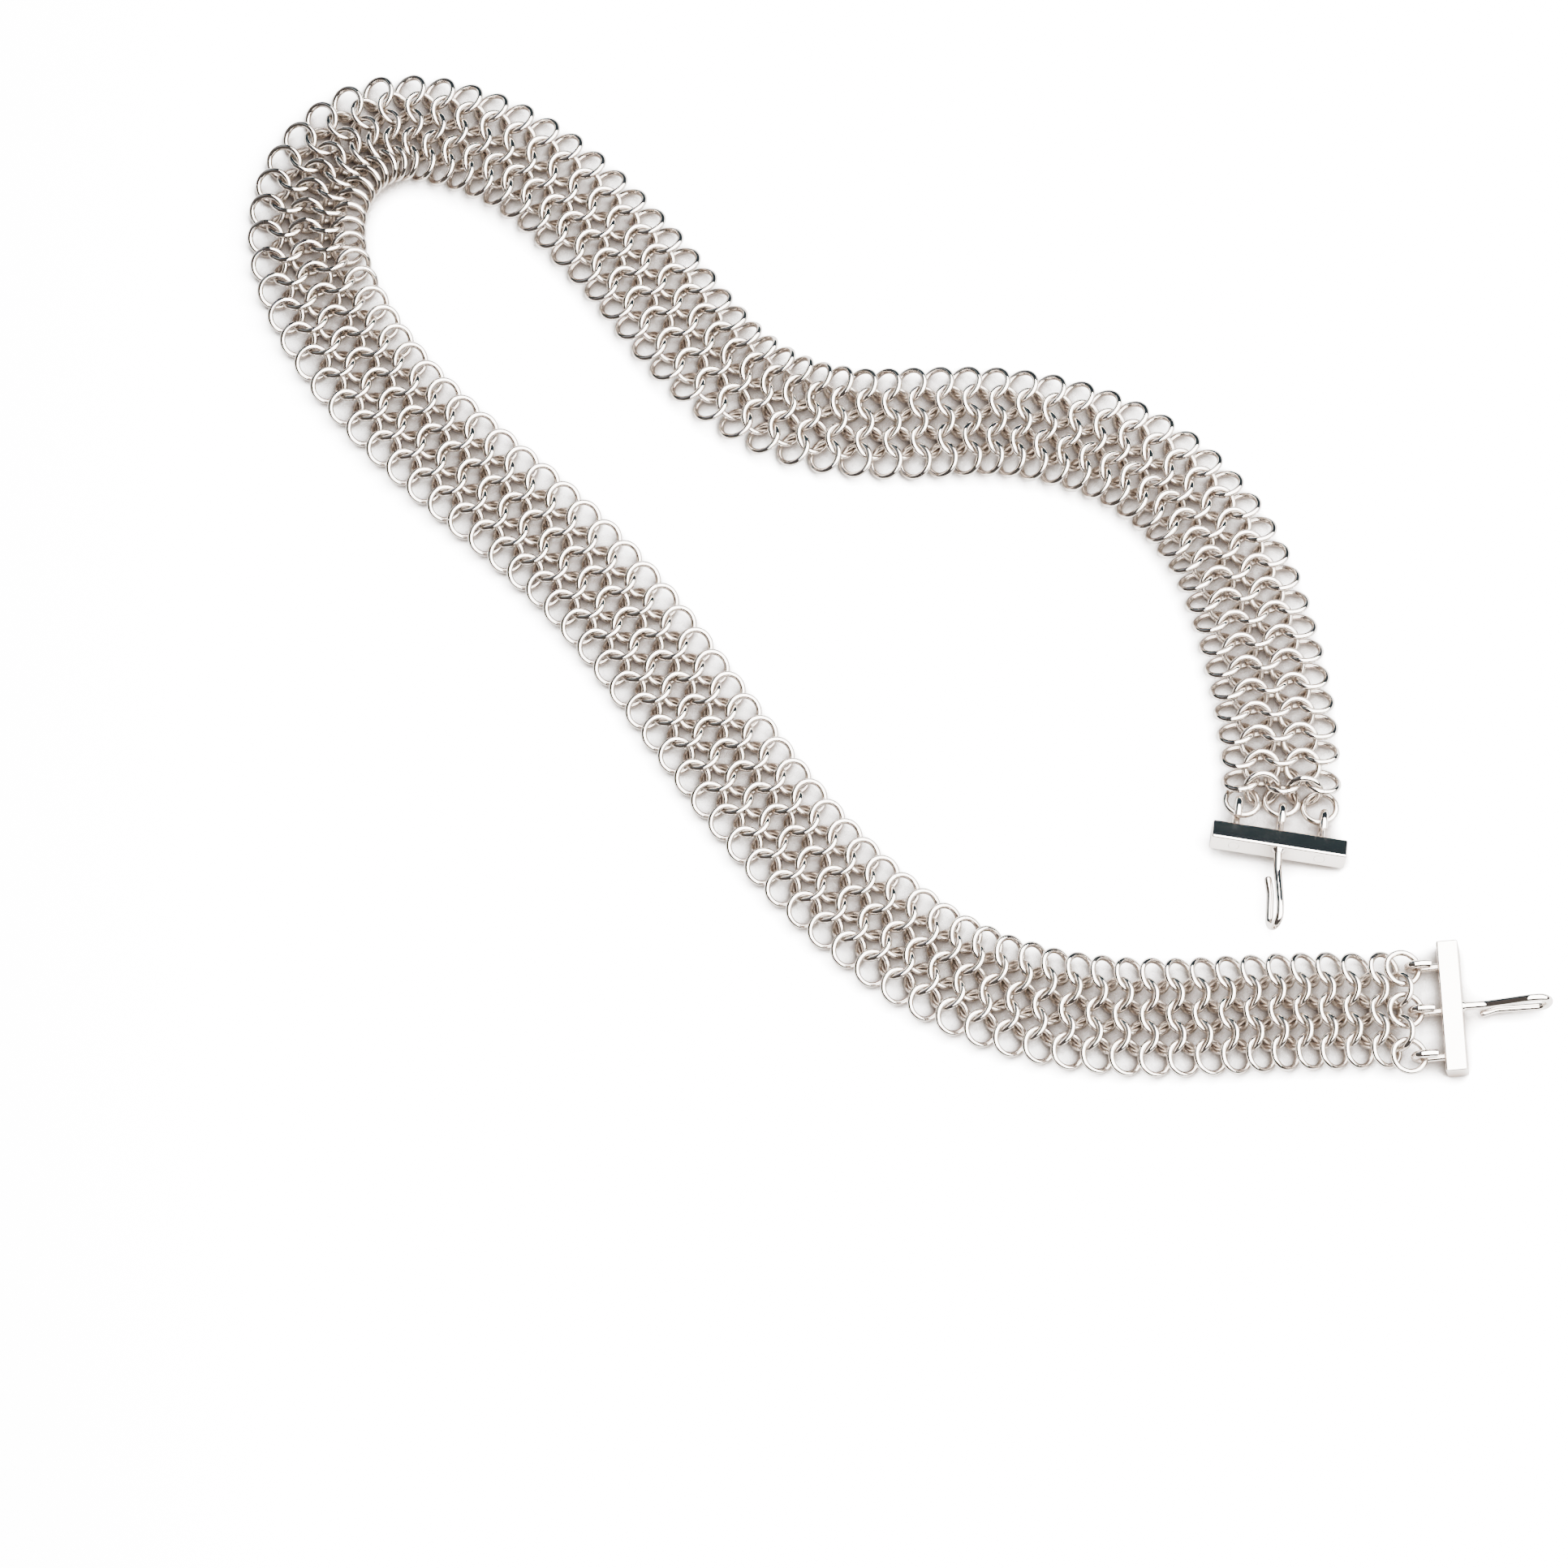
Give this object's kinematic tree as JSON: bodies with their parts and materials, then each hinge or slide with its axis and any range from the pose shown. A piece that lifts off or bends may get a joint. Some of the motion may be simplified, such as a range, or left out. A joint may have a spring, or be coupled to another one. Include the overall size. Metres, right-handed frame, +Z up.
{
  "type": "chainmail necklace",
  "caption": "Chainmail necklace laid open: a wide woven band of silver rings with a square bar and a wire hook at each end.",
  "frame": {"origin": "the middle of the band's length, on its underside, where it rests on the table", "axes": "+Z up from the table, +X along the laid necklace's longest extent towards its two hooks, +Y across it"},
  "size_m": [0.1872, 0.1561, 0.0064],
  "materials": {
    "silver": "polished sterling silver"
  },
  "bodies": {
    "root": {"mail_band": "silver", "hook_bar_a": "silver", "hook_bar_b": "silver", "eye_pin_a1": "silver", "eye_pin_a2": "silver", "eye_pin_a3": "silver", "eye_pin_b1": "silver", "eye_pin_b2": "silver", "eye_pin_b3": "silver"}
  },
  "joints": []
}
